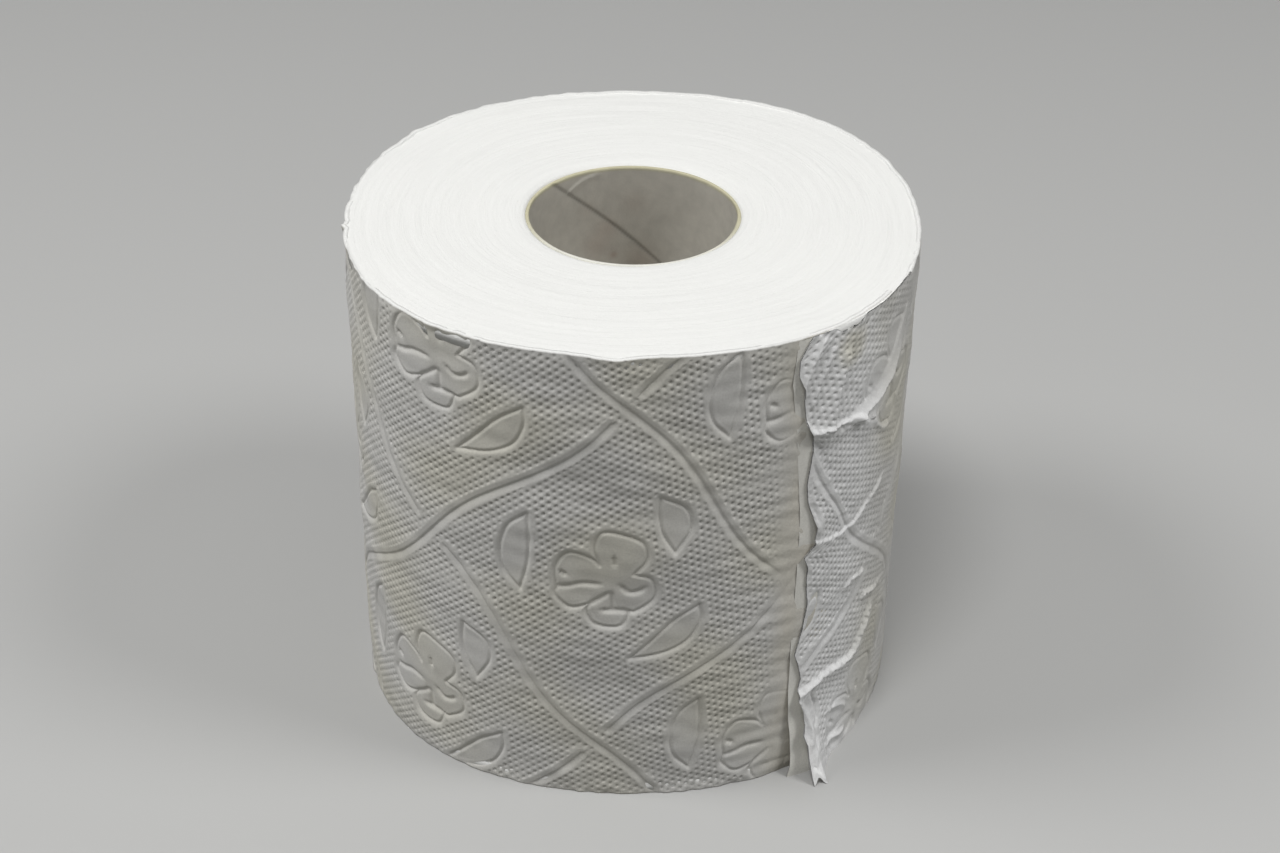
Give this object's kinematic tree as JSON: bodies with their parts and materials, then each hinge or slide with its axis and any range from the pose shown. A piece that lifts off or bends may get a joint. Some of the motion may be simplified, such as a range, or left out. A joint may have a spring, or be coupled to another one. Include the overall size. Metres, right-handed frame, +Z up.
{
  "type": "toilet paper roll",
  "caption": "Wound roll of embossed tissue on a board core, standing on its end, with a crumpled free end.",
  "frame": {"origin": "on the axis of the core's bore, in the plane that the roll stands on", "axes": "+Z up along the bore; -Y is the front, and the free end hangs on the wall 38 degrees to its right, towards +X"},
  "size_m": [0.1089, 0.1082, 0.099],
  "materials": {
    "tissue": "soft embossed tissue, matt",
    "core_board": "grey recycled board, matt"
  },
  "bodies": {
    "root": {"wound_paper": "tissue", "core_tube": "core_board"}
  },
  "joints": []
}
